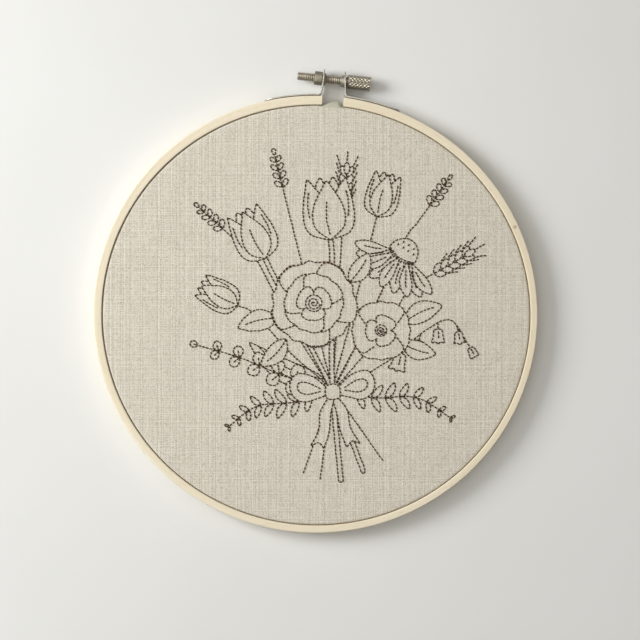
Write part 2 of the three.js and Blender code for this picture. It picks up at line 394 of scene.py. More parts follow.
def tulip(height, width):
    """Three petals seen from the side, with the tips of two more behind them."""
    w = 0.5 * width
    h = 1j * height
    edge = smooth([0j, -0.62 * w + 0.22 * h, -0.6 * w + 0.55 * h, 0.96 * h])
    front = closed(edge, mirrored(edge)[::-1][1:-1])
    outside = smooth([0j, -0.85 * w + 0.12 * h, -1.06 * w + 0.45 * h, -0.82 * w + 0.99 * h])
    inside_edge = smooth([-0.82 * w + 0.99 * h, -0.42 * w + 0.8 * h, -0.05 * w + 0.55 * h])
    side = closed(outside, inside_edge[1:])
    tip = smooth([-0.62 * w + 0.7 * h, -0.28 * w + 1.0 * h, 0.78 * h])
    back = closed(tip, np.array([0.3 * h]))
    front_rib = smooth([0.08 * h, -0.1 * w + 0.34 * h, -0.06 * w + 0.62 * h])
    side_rib = smooth([-0.8 * w + 0.36 * h, -0.84 * w + 0.56 * h, -0.78 * w + 0.78 * h])
    return [
        (front, [front, front_rib]),
        *with_mirror(side, [side, side_rib]),
        *with_mirror(back, [tip]),
    ]


def rose_petal(reach, half):
    """A broad petal with a soft point, from the middle of the flower out to the right."""
    edge = smooth([
        0.25 * reach - 0.75j * half,
        0.66 * reach - 1.06j * half,
        0.93 * reach - 0.62j * half,
        0.95 * reach - 0.2j * half,
        1.02 * reach + 0.02j * half,
        0.94 * reach + 0.25j * half,
        0.9 * reach + 0.66j * half,
        0.62 * reach + 1.04j * half,
        0.22 * reach + 0.72j * half,
    ])
    return [(closed(edge, np.array([0j])), [edge])]


def rose(radius, rounds):
    """A round rose seen from the front: a wound heart, and rounds of petals behind each other.
    A round is (petals, reach, breadth, lean of its first petal)."""
    winding = np.linspace(0, 2.3 * TURN, 60)
    spiral = radius * (0.03 + 0.15 * winding / winding[-1]) * np.exp(1j * winding)
    heart = 0.2 * radius * np.exp(1j * np.radians(np.linspace(0, 360, 24)))
    shapes = [(heart, [heart, spiral[:-8]])]
    for petals, reach, breadth, lean in rounds:
        for k in range(petals):
            petal = rose_petal(reach * radius, breadth * reach * radius)
            shapes += placed(petal, 0, lean + 360 * k / petals)
    return shapes


def coneflower(size):
    """A side view: a dotted dome over petals that hang outwards. It grows up from its stem."""
    half = np.linspace(0, math.pi, 26)
    crown = 0.36 * size * (np.cos(half) + 1.15j * np.sin(half))
    dome = closed(crown, smooth([-0.36 * size + 0j, -0.1j * size, 0.36 * size + 0j])[1:-1])
    seeds = []
    for height, places in ((0.12, (-0.21, -0.07, 0.07, 0.21)), (0.24, (-0.14, 0.0, 0.14))):
        for x in places:
            seeds.append(size * np.array([x + 1j * height, 1.06 * x + 1j * (height + 0.07)]))
    shapes = [(dome, [dome, *seeds])]
    for lean in (0, 34, -34, 66, -66, 17, -17, 51, -51):
        outline, middle = leaflet(0.92 * size, 0.3 * size, math.copysign(0.05, lean), fullest=0.62)
        root = size * (0.3 * math.sin(math.radians(lean)) - 0.02j)
        shapes += placed([(outline, [outline, middle[4:12]])], root, 180 + lean)
    return shapes


def lavender(length, whorls=5):
    """A spike of small buds in pairs, on a bare stem."""
    bud, _ = leaflet(4.6, 2.7, fullest=0.6, steps=8)
    shapes = placed([(bud, [bud])], 1j * (length - 2), 0, 0.84)
    for k in range(1, whorls):
        at = 1j * (length * (1 - 0.7 * k / whorls) - 1.2)
        for lean in (42, -42):
            shapes += placed([(bud, [bud])], at, lean, 0.84 + 0.26 * k / whorls)
    shapes.append((None, [np.array([0j, 1j * (length - 2)])]))
    return shapes


def wheat(length, pairs=5):
    """An ear of grains in pairs, each with a short straight awn."""
    grain, _ = leaflet(6.4, 3.1, 0.03, steps=9)
    shapes = placed([(grain, [grain, np.array([6.4j, 11.5j])])], 1j * length)
    for k in range(pairs):
        for side in (1, -1):
            awn = np.array([6.4j, 6.4j + 5.4 * towards(90 - 8 * side)])
            shapes += placed([(grain, [grain, awn])], 1j * (length - 1.0 - 3.9 * k), 30 * side)
    shapes.append((None, [np.array([0j, 1j * length])]))
    return shapes


def reached(line):
    """How far along a line each of its points is."""
    return np.concatenate([[0], np.cumsum(np.abs(np.diff(line)))])


def point_at(line, reach, at):
    return np.interp(at, reach, line.real) + 1j * np.interp(at, reach, line.imag)


def spot_on(line, share):
    """The point at a share of a line's length, and how far the line leans left there."""
    reach = reached(line)
    at = share * reach[-1]
    step = 0.01 * reach[-1]
    heading = point_at(line, reach, at) - point_at(line, reach, at - step)
    return point_at(line, reach, at), math.degrees(cmath.phase(heading)) - 90


def fern(line, pairs=8, longest=10.0):
    """A frond: slender leaflets in pairs along a line, shorter towards its tip."""
    shapes = []
    for k in range(pairs):
        at, lean = spot_on(line, 0.2 + 0.78 * k / (pairs - 1))
        size = longest * (1 - 0.72 * (k / (pairs - 1)) ** 1.5) * (0.75 + 0.25 * min(1, k / 2))
        outline, _ = leaflet(size, 0.3 * size + 0.7, 0.06, fullest=0.42, steps=10)
        for shape, side in zip(with_mirror(outline, [outline]), (56, -56)):
            shapes += placed([shape], at, lean + side)
    shapes.append((None, [line]))
    return shapes


def roundleaf_sprig(line, pairs=5, largest=8.6):
    """Round leaves in pairs along a line, smaller towards its tip, with one at the end."""
    shapes = []
    for k in range(pairs + 1):
        at, lean = spot_on(line, 0.24 + 0.76 * k / pairs)
        size = largest * (1 - 0.5 * k / pairs)
        outline, middle = leaflet(size, 0.86 * size, fullest=0.52, steps=14)
        shape = [(outline, [outline, middle[:9]])]
        for side in (58, -58) if k < pairs else (0,):
            shapes = placed(shape, at, lean + side) + shapes
    shapes.append((None, [line]))
    return shapes


def bell(size):
    """A bell that hangs down from its stalk, with three scallops at its lip."""
    side = smooth([0j, 0.3 - 0.08j, 0.36 - 0.45j, 0.4 - 0.78j, 0.58 - 1.0j])
    scallop = smooth([0.58 - 1.0j, 0.4 - 1.08j, 0.2 - 0.95j])
    lip = [scallop[1:], smooth([0.2 - 0.95j, -1.16j, -0.2 - 0.95j])[1:], mirrored(scallop)[::-1][1:]]
    outline = size * closed(side, *lip, mirrored(side)[::-1][1:])
    rib = size * smooth([-0.16j, 0.04 - 0.5j, 0.02 - 0.74j])
    return [(outline, [outline, rib])]


def bellflower(line, bells=5, size=8.0):
    """A nodding stem, with bells that hang on short stalks from its outer half."""
    shapes = []
    stalks = []
    for k in range(bells):
        at, lean = spot_on(line, 0.5 + 0.5 * k / (bells - 1))
        swing = 8 * (k - 2)
        drop = 3.0 * towards(-90 + 14 * (k - 2))
        if k == bells - 1:
            swing += 10
            drop = 2.4 * towards(lean + 90)
        shapes += placed(bell(size * (1 - 0.1 * k)), at + drop, swing)
        stalks.append(np.array([at, at + drop]))
    shapes.append((None, [line, *stalks]))
    return shapes


def thick_stem(line, width):
    """Two lines side by side, joined across at the cut end."""
    heading = np.gradient(line)
    side = 0.5j * width * heading / np.abs(heading)
    both = np.concatenate([line + side, (line - side)[::-1]])
    return [(closed(both), [both])]


def bow(size):
    """A ribbon bow: a knot, two loops and two notched tails."""
    corners = [
        -0.17 + 0.16j, 0.21j, 0.17 + 0.16j, 0.2 + 0j,
        0.17 - 0.17j, -0.21j, -0.17 - 0.17j, -0.2 + 0j,
    ]
    knot = size * closed(smooth([*corners, corners[0]], 6)[:-1])
    round_loop = [
        -0.14 + 0.1j, -0.5 + 0.42j, -0.92 + 0.52j, -1.12 + 0.26j,
        -1.06 - 0.06j, -0.78 - 0.24j, -0.4 - 0.16j, -0.14 - 0.08j,
    ]
    loop = size * closed(smooth(round_loop, 8))
    in_loop = [-0.3 + 0.08j, -0.62 + 0.26j, -0.88 + 0.28j, -0.92 + 0.08j, -0.7 - 0.04j, -0.3 + 0.02j]
    hollow = size * smooth(in_loop, 8)
    outer = size * smooth([-0.12 - 0.14j, -0.36 - 0.52j, -0.42 - 0.98j, -0.66 - 1.42j], 10)
    inner = size * smooth([-0.3 - 1.5j, -0.14 - 1.02j, -0.08 - 0.6j, 0.02 - 0.2j], 10)
    tail = closed(outer, size * np.array([-0.44 - 1.3j]), inner)
    return [
        (knot, [knot]),
        *with_mirror(loop, [loop, hollow]),
        *with_mirror(tail, [tail[:-1]]),
    ]


def posy():
    """The posy as (name of its group, shapes), from the front to what lies furthest back."""
    full_rounds = ((3, 0.42, 0.66, 30), (4, 0.7, 0.7, 60), (5, 1.0, 0.74, 24))
    few_rounds = ((3, 0.54, 0.66, 60), (4, 1.0, 0.74, 90))
    groups = [
        ("bow", placed(bow(18), TIE, 3)),
        ("roses", placed(rose(20, full_rounds), -9 + 5j)),
        ("roses", placed(rose(14, few_rounds), 23 - 8j)),
    ]
    leaves = (
        # where its stalk starts, how far it leans left, length, width, bend
        (-26 - 2j, 104, 20, 10, 0.06),
        (-22 - 12j, 136, 18, 9, -0.07),
        (34 - 4j, -66, 20, 10, -0.06),
        (33 - 14j, -108, 17, 9, 0.06),
        (8 + 15j, -34, 17, 9, 0.05),
    )
    for at, lean, length, width, bend in leaves:
        groups.append(("leaves", placed(leaf(length, width, bend), at, lean)))
    flowers = (
        # flower, its foot, how far it leans left, where its stem ends below the bow, its thickness
        (coneflower(20), 33 + 28j, -34, -14 - 76j, 0),
        (tulip(30, 23), -1 + 35j, 4, 4 - 80j, 2.2),
        (tulip(26, 19), -32 + 26j, 26, 15 - 76j, 2.0),
        (tulip(22, 15), 21 + 46j, -15, -6 - 79j, 0),
        (tulip(21, 14), -45 + 4j, 62, 24 - 70j, 0),
    )
    for flower, foot, lean, end, thickness in flowers:
        line = smooth([foot, foot - 9 * towards(90 + lean), 0.42 * foot + 0.58 * TIE, TIE, end])
        groups.append(("tulips", placed(flower, foot, lean)))
        groups.append(("stems", thick_stem(line, thickness) if thickness else [(None, [line])]))
    spikes = (
        (lavender(29), -21 + 49j, 14),
        (lavender(28), -44 + 33j, 48),
        (lavender(27), 40 + 43j, -36),
        (wheat(20), 5 + 46j, -4),
        (wheat(19), 46 + 18j, -60),
    )
    for spike, foot, lean in spikes:
        line = smooth([foot, foot - 10 * towards(90 + lean), 0.45 * foot + 0.55 * TIE, TIE])
        groups.append(("spikes", placed(spike, foot, lean)))
        groups.append(("stems", [(None, [line])]))
    groups += [
        ("bells", bellflower(smooth([TIE, 24 - 24j, 44 - 8j, 56 - 3j, 64 - 14j]))),
        ("leaves", roundleaf_sprig(smooth([TIE, -22 - 30j, -44 - 21j, -64 - 15j]))),
        ("ferns", fern(smooth([TIE, -18 - 42j, -36 - 44j, -50 - 54j]))),
        ("ferns", fern(smooth([TIE, 20 - 40j, 40 - 40j, 57 - 50j]))),
        ("leaves", placed(blade(42, 11, -0.1), TIE - 3 + 4j, 62)),
    ]
    return groups


def inside(points, outline):
    """Which points lie inside a closed outline."""
    x = points.real[:, None]
    y = points.imag[:, None]
    a = outline[:-1]
    b = outline[1:]
    spans = (a.imag > y) != (b.imag > y)
    rise = np.where(b.imag == a.imag, 1, b.imag - a.imag)
    crossing = a.real + (y - a.imag) * (b.real - a.real) / rise
    return np.count_nonzero(spans & (x < crossing), axis=1) % 2 == 1


def hidden_behind(points, covers):
    hidden = np.zeros(len(points), bool)
    for cover in covers:
        near = (points.real > cover.real.min()) & (points.real < cover.real.max())
        if near.any():
            hidden[near] |= inside(points[near], cover)
    return hidden


def traced(line):
    """A line as points a small even step apart."""
    reach = reached(line)
    count = max(2, int(reach[-1] / TRACE_STEP) + 1)
    return point_at(line, reach, np.linspace(0, reach[-1], count))


def needle_holes(run):
    """Where the needle goes through along a run: even steps of about one stitch."""
    reach = reached(run)
    stitches = max(1, round(reach[-1] / STITCH_LENGTH))
    return point_at(run, reach, np.linspace(0, reach[-1], stitches + 1))


def pattern_holes():
    """Each group's runs of needle holes. A run stops where a shape in front covers it."""
    covers = []
    runs = {}
    for name, shapes in posy():
        for outline, lines in shapes:
            for line in lines:
                points = traced(line)
                start = None
                for k, gone in enumerate([*hidden_behind(points, covers), True]):
                    if not gone and start is None:
                        start = k
                    if gone and start is not None:
                        if (k - start) * TRACE_STEP > SHORTEST_RUN * STITCH_LENGTH:
                            runs.setdefault(name, []).append(needle_holes(points[start:k]))
                        start = None
            if outline is not None:
                covers.append(outline)
    return runs


# Stitches

STRAND_RADIUS = 0.2
STRAND_SPREAD = 0.19
STRAND_PINCH = 0.38
TWIST_LENGTH = 1.5
STITCH_RISE = 0.22
STITCH_DIVE = 0.3
STITCH_MARGIN = 0.11
STITCH_FLATNESS = 3.4
NEEDLE_WANDER = 0.07


def wound_stitches(runs, step, surface, up, rings, sides, rng):
    """Two strands wound round each other along each stitch, which arches from a needle hole to
    the step-th hole after it.

    surface is the height that the thread lies on. up is 1 on the cloth's front and -1 on its back.
    A strand is a tube of rings, with a few sides."""
    starts = np.concatenate([run[:-step] for run in runs])
    along = np.concatenate([run[step:] for run in runs]) - starts
    total = len(starts)
    length = np.abs(along)
    heading = along / length
    s = np.linspace(0, 1, rings)
    arch = 1 - np.abs(2 * s - 1) ** STITCH_FLATNESS
    rise = arch * (STITCH_RISE + STITCH_DIVE) - STITCH_DIVE
    tilt = np.arctan(np.gradient(rise, s)[None, :] / length[:, None])
    pinch = 1 - STRAND_PINCH + STRAND_PINCH * arch
    phase = rng.uniform(0, TURN, total)
    turns = length / TWIST_LENGTH
    size = rng.uniform(0.92, 1.1, total)
    middle = starts[:, None] + along[:, None] * (STITCH_MARGIN + (1 - 2 * STITCH_MARGIN) * s)[None, :]
    base = surface(middle.real, middle.imag)
    strands = []
    for strand in (0, 1):
        angle = phase[:, None] + math.pi * strand + TURN * turns[:, None] * s[None, :]
        across = STRAND_SPREAD * np.cos(angle) * pinch * size[:, None]
        lift = 0.8 * STRAND_SPREAD * np.sin(angle) * pinch * size[:, None]
        radius = STRAND_RADIUS * (0.75 + 0.25 * pinch)[None, :] * size[:, None]
        for side in range(sides):
            turn = TURN * (side + 0.5) / sides
            sideways = across + radius * math.cos(turn)
            upwards = lift + radius * math.sin(turn)
            flat = middle + heading[:, None] * (1j * sideways - upwards * np.sin(tilt))
            height = base + up * (rise[None, :] + upwards * np.cos(tilt))
            strands.append(np.stack([flat.real, flat.imag, height], 2))
    points = np.array(strands).reshape(2, sides, total, rings, 3).transpose(2, 0, 3, 1, 4)
    tube = np.arange(total * 2)[:, None, None] * rings * sides
    ring = np.arange(rings - 1)[None, :, None] * sides
    k = np.arange(sides)[None, None, :]
    here = tube + ring + k
    beside = tube + ring + (k + 1) % sides
    quads = np.stack([here, beside, beside + sides, here + sides], 3).reshape(-1, 4)
    first = tube[:, 0] + np.arange(sides)[None, ::-1]
    last = tube[:, 0] + (rings - 1) * sides + np.arange(sides)[None, :]
    faces = []
    for group in (quads, first, last):
        faces += (group if up > 0 else group[:, ::-1]).tolist()
    return points.reshape(-1, 3), faces


def to_hoop(points):
    """From the pattern's place on the cloth to the hoop's own axes."""
    return (points + POSY_MIDDLE) * cmath.exp(1j * PICTURE_TURN)


def front_surface(x, y):
    return CLOTH_FACE + face_relief(x, y)


def back_surface(x, y):
    return CLOTH_FACE - CLOTH_THICKNESS + face_relief(x, y)


def make_stitches(material):
    """One piece for each group of the posy: its stitches, and the longer ones at the back."""
    rng = np.random.default_rng(7)
    pieces = []
    for name, runs in pattern_holes().items():
        holes = []
        for run in runs:
            wander = rng.normal(0, NEEDLE_WANDER, len(run)) + 1j * rng.normal(0, NEEDLE_WANDER, len(run))
            holes.append(to_hoop(run + wander))
        front, front_faces = wound_stitches(holes, 1, front_surface, 1, 9, 5, rng)
        back, back_faces = wound_stitches(holes, 2, back_surface, -1, 7, 4, rng)
        points = np.concatenate([front, back])
        faces = front_faces + [[k + len(front) for k in face] for face in back_faces]
        pieces.append(add_piece(f"stitched_{name}", points, faces, material, sharp_above=180))
    return pieces


# The steel fittings

def bevelled_copy(node, name, width, material):
    """A finer piece of the same shape as a fitting, with its sharp edges rounded over."""
    flat_below = math.radians(0.6)
    bevelled_above = math.radians(28)
    crisp_above = math.radians(34)
    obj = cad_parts[node].copy()
    obj.data = obj.data.copy()
    obj.name = name
    for key in list(obj.keys()):
        del obj[key]
    obj.parent = None
    bpy.context.scene.collection.objects.link(obj)
    shape = bmesh.new()
    shape.from_mesh(obj.data)
    bmesh.ops.remove_doubles(shape, verts=shape.verts, dist=1e-6)
    bmesh.ops.dissolve_limit(shape, angle_limit=flat_below, verts=shape.verts, edges=shape.edges)
    bmesh.ops.bevel(
        shape,
        geom=[edge for edge in shape.edges if edge.calc_face_angle(0) > bevelled_above],
        offset=width * MM,
        offset_type="OFFSET",
        segments=2,
        profile=0.5,
        affect="EDGES",
        clamp_overlap=True,
    )
    shape.to_mesh(obj.data)
    shape.free()
    obj.data.shade_smooth()
    obj.data.set_sharp_from_angle(angle=crisp_above)
    finish_piece(obj, material, "hoop")
    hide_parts(node)


THREAD_PITCH = 0.92
THREAD_DEPTH = 0.34
THREAD_FADE = 0.6
ROD_CHAMFER_LENGTH = 0.35
ROD_CHAMFER_DEPTH = 0.4
HEAD_LEFT_ROUND = 0.7
HEAD_RIGHT_ROUND = 0.5
COLUMNS = 108
KNURL_STARTS = 12
KNURL_DEPTH = 0.4
KNURL_ROW = 0.19


# Each pattern takes a row's place along the screw, its number and a column's number.

def thread_cut(along, row, column):
    """How deep the screw's thread is cut at a place on the rod, from 0 at its crest to 1."""
    turn = along / THREAD_PITCH - column / COLUMNS
    share = turn - math.floor(turn)
    return 1 - min(1, 1.25 * abs(2 * share - 1))


def knurl_cut(along, row, column):
    """How deep the two crossing sets of grooves are cut at a place on the head, from 0 to 1."""
    spacing = COLUMNS // KNURL_STARTS
    depth = 0
    for line in ((column + row) % spacing, (column - row) % spacing):
        depth = max(depth, 1 - 2 * min(line, spacing - line) / spacing)
    return depth


def rounded_edge(end, inward, size):
    """The rows that round an end of the head off, from its end face to its side."""
    rows = []
    for angle in (0, 22.5, 45, 67.5):
        turn = math.radians(angle)
        at = end + inward * size * (1 - math.cos(turn))
        rows.append((at, HEAD_RADIUS - size * (1 - math.sin(turn)), 0.1 * KNURL_DEPTH, knurl_cut))
    return rows


def screw_profile():
    """The screw's rows from the rod's end to the head's, each as (place along the screw, radius,
    deepest cut, pattern of the cut)."""
    rows = []
    steps = round((HEAD_LEFT - ROD_LEFT) / (THREAD_PITCH / 8))
    for k in range(steps + 1):
        along = ROD_LEFT + (HEAD_LEFT - ROD_LEFT) * k / steps
        edge = min(1, (along - ROD_LEFT) / ROD_CHAMFER_LENGTH)
        fade = min(1, (HEAD_LEFT - along) / THREAD_FADE)
        radius = ROD_RADIUS - ROD_CHAMFER_DEPTH * (1 - edge)
        rows.append((along, radius, THREAD_DEPTH * edge * fade, thread_cut))
    rows += [(HEAD_LEFT, radius, 0, knurl_cut) for radius in (2.3, 2.6)]
    rows += rounded_edge(HEAD_LEFT, 1, HEAD_LEFT_ROUND)
    start = HEAD_LEFT + HEAD_LEFT_ROUND
    end = HEAD_RIGHT - HEAD_RIGHT_ROUND
    steps = round((end - start) / KNURL_ROW)
    for k in range(steps + 1):
        rows.append((start + (end - start) * k / steps, HEAD_RADIUS, KNURL_DEPTH, knurl_cut))
    rows += rounded_edge(HEAD_RIGHT, -1, HEAD_RIGHT_ROUND)[::-1]
    for radius, dip in ((2.5, 0), (2.3, 0.06), (1.6, 0.08), (1.5, 0.12), (0.8, 0.13), (0.3, 0.14)):
        rows.append((HEAD_RIGHT - dip, radius, 0, knurl_cut))
    return rows


def make_screw(material):
    """The rod with its cut thread and the knurled head, as one turned piece."""
    rows = []
    for row, (along, radius, deepest, cut) in enumerate(screw_profile()):
        ring = []
        for column in range(COLUMNS):
            reach = radius - deepest * cut(along, row, column)
            angle = TURN * column / COLUMNS
            ring.append((along, reach * math.cos(angle), reach * math.sin(angle)))
        rows.append(ring)
    turned = np.concatenate(rows) @ np.array(Matrix.Rotation(SCREW_TILT, 3, "Z")).T
    points = turned + np.array((0, SCREW_Y, SCREW_Z))
    faces = turned_over(skin(rows, closed=False))
    screw = add_piece("turned_screw", points, faces, material, "screw", sharp_above=25)
    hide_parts("thumb_screw")


# Node trees

class Steps:
    """Adds nodes to a tree and joins them, so that a material reads as a list of steps."""

    def __init__(self, tree):
        self.tree = tree

    def fill(self, socket, value):
        """Joins another node's output to a socket, or sets the socket's own value."""
        if isinstance(value, bpy.types.NodeSocket):
            self.tree.links.new(value, socket)
        else:
            socket.default_value = value

    def add(self, kind, inputs=(), output=0, **settings):
        """A node of a kind. inputs gives each socket a value or another node's output."""
        node = self.tree.nodes.new(kind)
        for name, value in settings.items():
            setattr(node, name, value)
        for name, value in dict(inputs).items():
            self.fill(node.inputs[name], value)
        return node.outputs[output]

    def math(self, operation, *values, clamp=False):
        inputs = dict(enumerate(values))
        return self.add("ShaderNodeMath", inputs, operation=operation, use_clamp=clamp)

    def plus(self, a, b):
        return self.math("ADD", a, b)

    def minus(self, a, b):
        return self.math("SUBTRACT", a, b)

    def times(self, a, b):
        return self.math("MULTIPLY", a, b)

    def vector(self, operation, *values, output=0):
        return self.add("ShaderNodeVectorMath", dict(enumerate(values)), output, operation=operation)

    def join(self, x, y, z):
        return self.add("ShaderNodeCombineXYZ", {0: x, 1: y, 2: z})

    def split(self, vector):
        node = self.add("ShaderNodeSeparateXYZ", {0: vector}).node
        return node.outputs[0], node.outputs[1], node.outputs[2]

    def noise(self, vector, scale=1.0, detail=2.0, roughness=0.5, output="Fac"):
        inputs = {"Vector": vector, "Scale": scale, "Detail": detail, "Roughness": roughness}
        return self.add("ShaderNodeTexNoise", inputs, output)

    def ramp(self, value, low, high, start=0.0, end=1.0):
        """Maps low..high to start..end, and holds it there."""
        inputs = {"Value": value, "From Min": low, "From Max": high, "To Min": start, "To Max": end}
        return self.add("ShaderNodeMapRange", inputs, "Result", clamp=True)

    def mix(self, share, a, b, blend="MIX"):
        inputs = {0: share, 6: a, 7: b}
        return self.add("ShaderNodeMix", inputs, 2, data_type="RGBA", blend_type=blend)

    def stained_or_shaded(self, colour, mask, strength, stain_or_shade):
        """A colour, stained or given painted shade by a share of strength where the mask is 1."""
        return self.mix(self.times(mask, strength), colour, stain_or_shade)


def spaced(label):
    return label.replace("_", " ")


class Effect(Steps):
    """A shader node group under way. It works from the place on the piece and named numbers."""

    def __init__(self, name, **numbers):
        super().__init__(bpy.data.node_groups.new(name, "ShaderNodeTree"))
        self.new_socket("Position", "INPUT", "Vector")
        for label, value in numbers.items():
            self.new_socket(label, "INPUT", "Float").default_value = value
        self.given = self.tree.nodes.new("NodeGroupInput").outputs
        self.position = self.given["Position"]

    def new_socket(self, label, side, kind):
        kind = f"NodeSocket{kind}"
        return self.tree.interface.new_socket(spaced(label), in_out=side, socket_type=kind)

    def putting_out(self, **results):
        """The group, finished: what it puts out, by name."""
        for label in results:
            self.new_socket(label, "OUTPUT", "Float")
        sockets = self.tree.nodes.new("NodeGroupOutput").inputs
        for label, value in results.items():
            self.fill(sockets[spaced(label)], value)
        return self.tree


class Finish(Steps):
    """A material under way: its steps, its shader, and the place on the piece."""

    def __init__(self, name, **constants):
        self.material = bpy.data.materials.new(name)
        self.material.use_nodes = True
        super().__init__(self.material.node_tree)
        self.shader = self.tree.nodes["Principled BSDF"]
        for label, value in constants.items():
            self.fill(self.shader.inputs[spaced(label)], value)
        self.position = self.add("ShaderNodeTexCoord", output="Object")

    def effect(self, group, **numbers):
        node = self.tree.nodes.new("ShaderNodeGroup")
        node.node_tree = group
        self.fill(node.inputs["Position"], self.position)
        for label, value in numbers.items():
            self.fill(node.inputs[spaced(label)], value)
        return node.outputs

    def set(self, label, value):
        self.fill(self.shader.inputs[label], value)

    def bump(self, height, distance, strength):
        inputs = {"Height": height, "Distance": distance, "Strength": strength}
        self.set("Normal", self.add("ShaderNodeBump", inputs))


def srgb(red, green, blue):
    """A colour as picked on a screen, as the linear colour that a shader takes."""
    def linear(value):
        value /= 255
        return value / 12.92 if value <= 0.04045 else ((value + 0.055) / 1.055) ** 2.4

    return (linear(red), linear(green), linear(blue), 1.0)


def from_middle(steps):
    """How far a place is to the right of, above and in front of the hoop's middle."""
    return steps.split(steps.vector("SUBTRACT", steps.position, tuple(HOOP_MIDDLE)))


def along_threads(steps):
    """The place on the piece, turned so that x and y follow the cloth's threads."""
    inputs = {"Vector": steps.position, "Angle": -PICTURE_TURN}
    return steps.add("ShaderNodeVectorRotate", inputs, rotation_type="Z_AXIS")


# Effects, each a shader node group

def wood_grain_effect():
    """Grain that runs round a ring: tone from -1 to 1, dark pores, and height."""
    grain = Effect("Grain round a ring", Coarseness=1.0, Shift=0.0)
    coarseness = grain.given["Coarseness"]
    shift = grain.given["Shift"]
    x, y, z = from_middle(grain)
    # The angle's two ends meet at the screw, where the outer ring is open.
    angle = grain.math("ARCTAN2", grain.times(x, -1), grain.times(y, -1))
    radius = grain.math("SQRT", grain.plus(grain.times(x, x), grain.times(y, y)))
    along = grain.times(angle, 0.1)
    drift = grain.noise(grain.join(grain.times(along, 30), shift, 0.0))
    across = grain.plus(radius, grain.times(drift, 0.0012))
    up = grain.plus(z, grain.times(drift, 0.002))

    def streaks(round_scale, cross_scale, detail):
        cross = grain.times(coarseness, cross_scale)
        sideways = grain.plus(grain.times(across, cross), shift)
        place = grain.join(grain.times(along, round_scale), sideways, grain.times(up, cross))
        return grain.noise(place, detail=detail)

    broad = grain.ramp(streaks(9, 260, 2), 0.3, 0.7, -1, 1)
    fine = grain.ramp(streaks(26, 1500, 3), 0.3, 0.7, -1, 1)
    pores = grain.ramp(streaks(210, 4200, 1), 0.64, 0.74)
    tone = grain.plus(grain.times(broad, 0.6), grain.times(fine, 0.4))
    return grain.putting_out(Tone=tone, Pores=pores, Height=grain.minus(fine, pores))


def weave_effect():
    """Plain weave: tone from -1 to 1, gaps between threads, and height."""
    weave = Effect("Plain weave", Pitch=LINEN_PITCH, Unevenness=1.0)
    pitch = weave.given["Pitch"]
    turned = along_threads(weave)
    wander = weave.vector("SUBTRACT", weave.noise(turned, 70, 1, output="Color"), (0.5, 0.5, 0.5))
    place = weave.vector("ADD", turned, weave.vector("MULTIPLY", wander, (0.0011, 0.0011, 0)))
    x, y, _ = weave.split(place)

    def chance(number, other):
        """From 0 to 1, and the same wherever the two numbers are the same."""
        return weave.add("ShaderNodeTexWhiteNoise", {"Vector": weave.join(number, other, 0.5)}, "Value")

    def threads(across, along, seed, contrast):
        """One set of threads: the number of each, how round it is there, and its own tone."""
        count = weave.math("DIVIDE", across, pitch)
        number = weave.math("FLOOR", count)
        key = weave.times(number, 7.31)
        slubs = weave.noise(weave.join(key, weave.times(along, 110), seed), detail=3, roughness=0.7)
        # A thread stands out from the next one, and not a whole band from another band.
        own = weave.minus(chance(number, seed), chance(weave.plus(number, 1), seed))
        width = weave.plus(weave.times(weave.minus(slubs, 0.5), weave.given["Unevenness"]), 0.8)
        offset = weave.math("ABSOLUTE", weave.minus(weave.math("FRACT", count), 0.5))
        share = weave.math("DIVIDE", weave.times(offset, 2), width)
        square = weave.times(share, share)
        roundness = weave.math("SQRT", weave.math("SUBTRACT", 1, square, clamp=True))
        spun = weave.ramp(slubs, 0.3, 0.7, -0.2 * contrast, 0.2 * contrast)
        return number, roundness, weave.plus(spun, weave.times(own, contrast))

    def height(roundness, number, across_other, sign):
        """A thread's height, which rises and falls over and under the ones that cross it."""
        count = weave.minus(weave.math("DIVIDE", across_other, pitch), 0.5)
        half_turns = weave.times(weave.plus(count, number), math.pi)
        over = weave.times(weave.math("COSINE", half_turns), sign)
        lifted = weave.plus(weave.times(over, 0.25), 0.55)
        return weave.times(weave.math("POWER", roundness, 0.7), lifted)

    warp, warp_round, warp_tone = threads(x, y, 11.0, 1.2)
    weft, weft_round, weft_tone = threads(y, x, 41.0, 0.6)
    warp_height = height(warp_round, warp, y, 1)
    weft_height = height(weft_round, weft, x, -1)
    on_top = weave.ramp(weave.minus(warp_height, weft_height), -0.08, 0.08)
    top = weave.math("MAXIMUM", warp_height, weft_height)
    tone = weave.add("ShaderNodeMix", {0: on_top, 2: weft_tone, 3: warp_tone})

    def nearest_gap(across):
        """The nearest gap between two threads: its number, and the square of how far away it is."""
        count = weave.plus(weave.math("DIVIDE", across, pitch), 0.5)
        away = weave.minus(weave.math("FRACT", count), 0.5)
        return weave.math("FLOOR", count), weave.times(away, away)

    # Here and there four threads part a little and leave a small hole.
    column, sideways = nearest_gap(x)
    row, upwards = nearest_gap(y)
    slack = weave.ramp(weave.noise(turned, 130, 2), 0.35, 0.65, -0.08, 0.08)
    parted = weave.ramp(weave.plus(chance(column, row), slack), 0.7, 0.8)
    hole = weave.times(weave.ramp(weave.plus(sideways, upwards), 0.16, 0.04), parted)
    gaps = weave.math("MAXIMUM", weave.ramp(top, 0.34, 0.08), hole)
    return weave.putting_out(Tone=tone, Gaps=gaps, Height=top)


